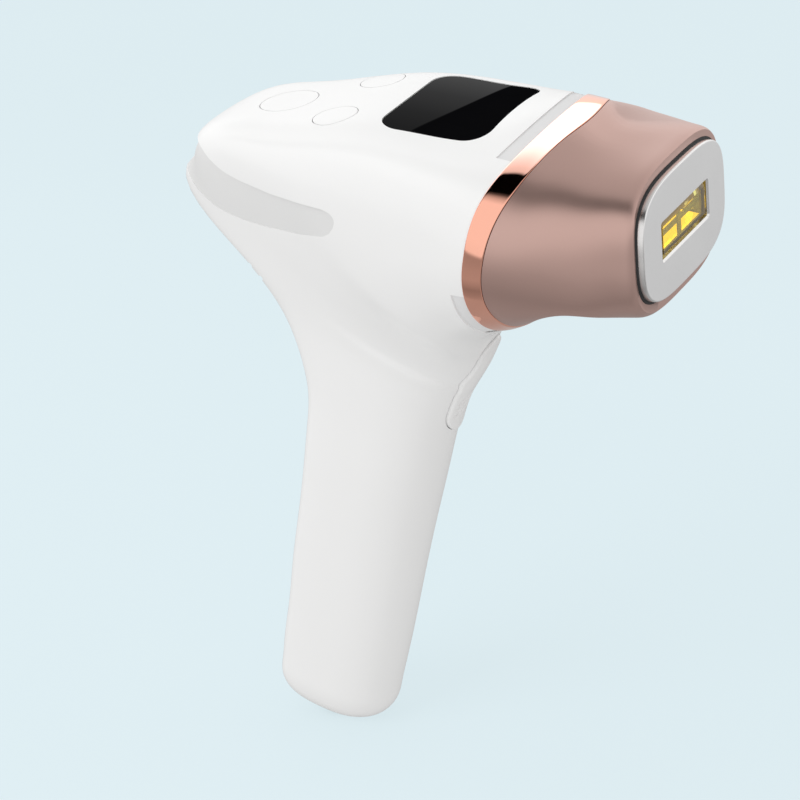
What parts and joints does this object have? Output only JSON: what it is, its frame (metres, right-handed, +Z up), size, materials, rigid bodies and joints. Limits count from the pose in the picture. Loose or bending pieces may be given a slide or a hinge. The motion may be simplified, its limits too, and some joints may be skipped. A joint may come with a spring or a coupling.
{
  "type": "ipl hair remover",
  "caption": "Handheld intense pulsed light hair remover: forward-leaning grip under a rounded body with display and buttons, and a pull-off lamp head with a cold plate around the light window.",
  "frame": {"origin": "centre of the treatment face, the front plane of the cold plate", "axes": "+X straight out of the light window, +Z up towards the display side, +Y to the device's left; the body is symmetric about Y = 0"},
  "size_m": [0.1436, 0.0706, 0.1953],
  "materials": {
    "moulded_matte_plastic": "moulded",
    "ivory_matte_plastic": "ivory",
    "zinc_plated_brushed_steel": "zinc plated",
    "green_laminate_matte_plastic": "green laminate",
    "silicone_rubber": "silicone",
    "dark_matte_plastic": "dark",
    "fine_blasted_with_brushed_edge_aluminium": "fine blasted with brushed edge",
    "matt_ceramic": "matt",
    "gloss_black_glass": "gloss black",
    "enamelled_copper_brass": "enamelled copper",
    "amber_coated_glass": "amber coated",
    "clear_quartz_glass": "clear quartz",
    "satin_white_matte_plastic": "satin white",
    "black_rubber": "black",
    "white_silicone_insulation_rubber": "white silicone insulation",
    "heat_resistant_matte_plastic": "heat resistant",
    "gold_plated_brass": "gold plated",
    "milled_aluminium": "milled",
    "polished_rose_gold_chrome": "polished rose gold",
    "satin_rose_gold_painted_metal": "satin rose gold",
    "red_and_black_insulation_rubber": "red and black insulation",
    "nickel_plated_chrome": "nickel plated",
    "soft_light_grey_rubber": "soft light grey",
    "polished_mirror": "polished",
    "sleeved_can_gloss_plastic": "sleeved can",
    "ferrite_cast_iron": "ferrite",
    "taped_winding_matte_plastic": "taped winding"
  },
  "bodies": {
    "housing": {"board_chips": "moulded_matte_plastic", "board_connectors": "ivory_matte_plastic", "board_screws": "zinc_plated_brushed_steel", "button_board": "green_laminate_matte_plastic", "button_keypad": "silicone_rubber", "capacitor_saddles": "moulded_matte_plastic", "chassis": "dark_matte_plastic", "cover_screws": "zinc_plated_brushed_steel", "display_board": "green_laminate_matte_plastic", "display_lens": "gloss_black_glass", "display_module": "dark_matte_plastic", "fan_coil": "enamelled_copper_brass", "fan_frame": "dark_matte_plastic", "fan_screws": "zinc_plated_brushed_steel", "head_cable": "white_silicone_insulation_rubber", "head_ring": "polished_rose_gold_chrome", "head_socket": "dark_matte_plastic", "housing_left": "satin_white_matte_plastic", "housing_right": "satin_white_matte_plastic", "housing_screws": "zinc_plated_brushed_steel", "jack_cable": "red_and_black_insulation_rubber", "jack_contacts": "gold_plated_brass", "lower_grip_pads": "soft_light_grey_rubber", "main_board": "green_laminate_matte_plastic", "power_jack": "dark_matte_plastic", "power_transistors": "moulded_matte_plastic", "rear_band": "soft_light_grey_rubber", "socket_magnets": "nickel_plated_chrome", "socket_pins": "gold_plated_brass", "storage_capacitor": "sleeved_can_gloss_plastic", "top_cover": "satin_white_matte_plastic", "top_grip_pad": "soft_light_grey_rubber", "transformer_core": "ferrite_cast_iron", "transformer_winding": "taped_winding_matte_plastic", "transistor_heat_sink": "milled_aluminium", "trigger_board": "green_laminate_matte_plastic", "trigger_coil": "enamelled_copper_brass", "trigger_springs": "zinc_plated_brushed_steel", "trigger_switch": "dark_matte_plastic"},
    "lamp_head": {"head_shell": "satin_rose_gold_painted_metal", "cold_plate": "fine_blasted_with_brushed_edge_aluminium", "plate_gasket": "black_rubber", "filter_glass": "amber_coated_glass", "glass_seal": "black_rubber", "head_carrier": "heat_resistant_matte_plastic", "head_keepers": "zinc_plated_brushed_steel", "head_contacts": "gold_plated_brass", "head_screws": "zinc_plated_brushed_steel", "cooling_modules": "matt_ceramic", "head_heat_sinks": "milled_aluminium", "reflector": "polished_mirror", "flash_lamp": "clear_quartz_glass", "lamp_electrodes": "nickel_plated_chrome", "lamp_holders": "matt_ceramic", "lamp_leads": "white_silicone_insulation_rubber"},
    "power_button": {"power_button": "satin_white_matte_plastic"},
    "mode_button": {"mode_button": "satin_white_matte_plastic"},
    "level_button": {"level_button": "satin_white_matte_plastic"},
    "flash_trigger": {"flash_trigger": "satin_white_matte_plastic"},
    "fan_rotor": {"fan_rotor": "dark_matte_plastic"}
  },
  "joints": [
    {"name": "head_pull_off", "type": "slide", "parent": "housing", "child": "lamp_head", "axis": [1, 0, 0], "range_m": [0, 0.05]},
    {"name": "power_button_press", "type": "slide", "parent": "housing", "child": "power_button", "axis": [0.19, 0, -0.9818], "range_m": [0, 0.0005], "stiffness_N_per_m": 600, "deforming": ["button_keypad"]},
    {"name": "mode_button_press", "type": "slide", "parent": "housing", "child": "mode_button", "axis": [0.19, 0, -0.9818], "range_m": [0, 0.0005], "stiffness_N_per_m": 600, "deforming": ["button_keypad"]},
    {"name": "level_button_press", "type": "slide", "parent": "housing", "child": "level_button", "axis": [0.19, 0, -0.9818], "range_m": [0, 0.0005], "stiffness_N_per_m": 600, "deforming": ["button_keypad"]},
    {"name": "trigger_press", "type": "slide", "parent": "housing", "child": "flash_trigger", "axis": [-0.8751, 0, 0.484], "range_m": [0, 0.0012], "stiffness_N_per_m": 800, "deforming": ["trigger_springs"]},
    {"name": "fan_spin", "type": "hinge", "parent": "housing", "child": "fan_rotor", "pos_m": [-0.1086, 0, -0.0112], "axis": [0.7804, 0, 0.6253], "continuous": true}
  ]
}
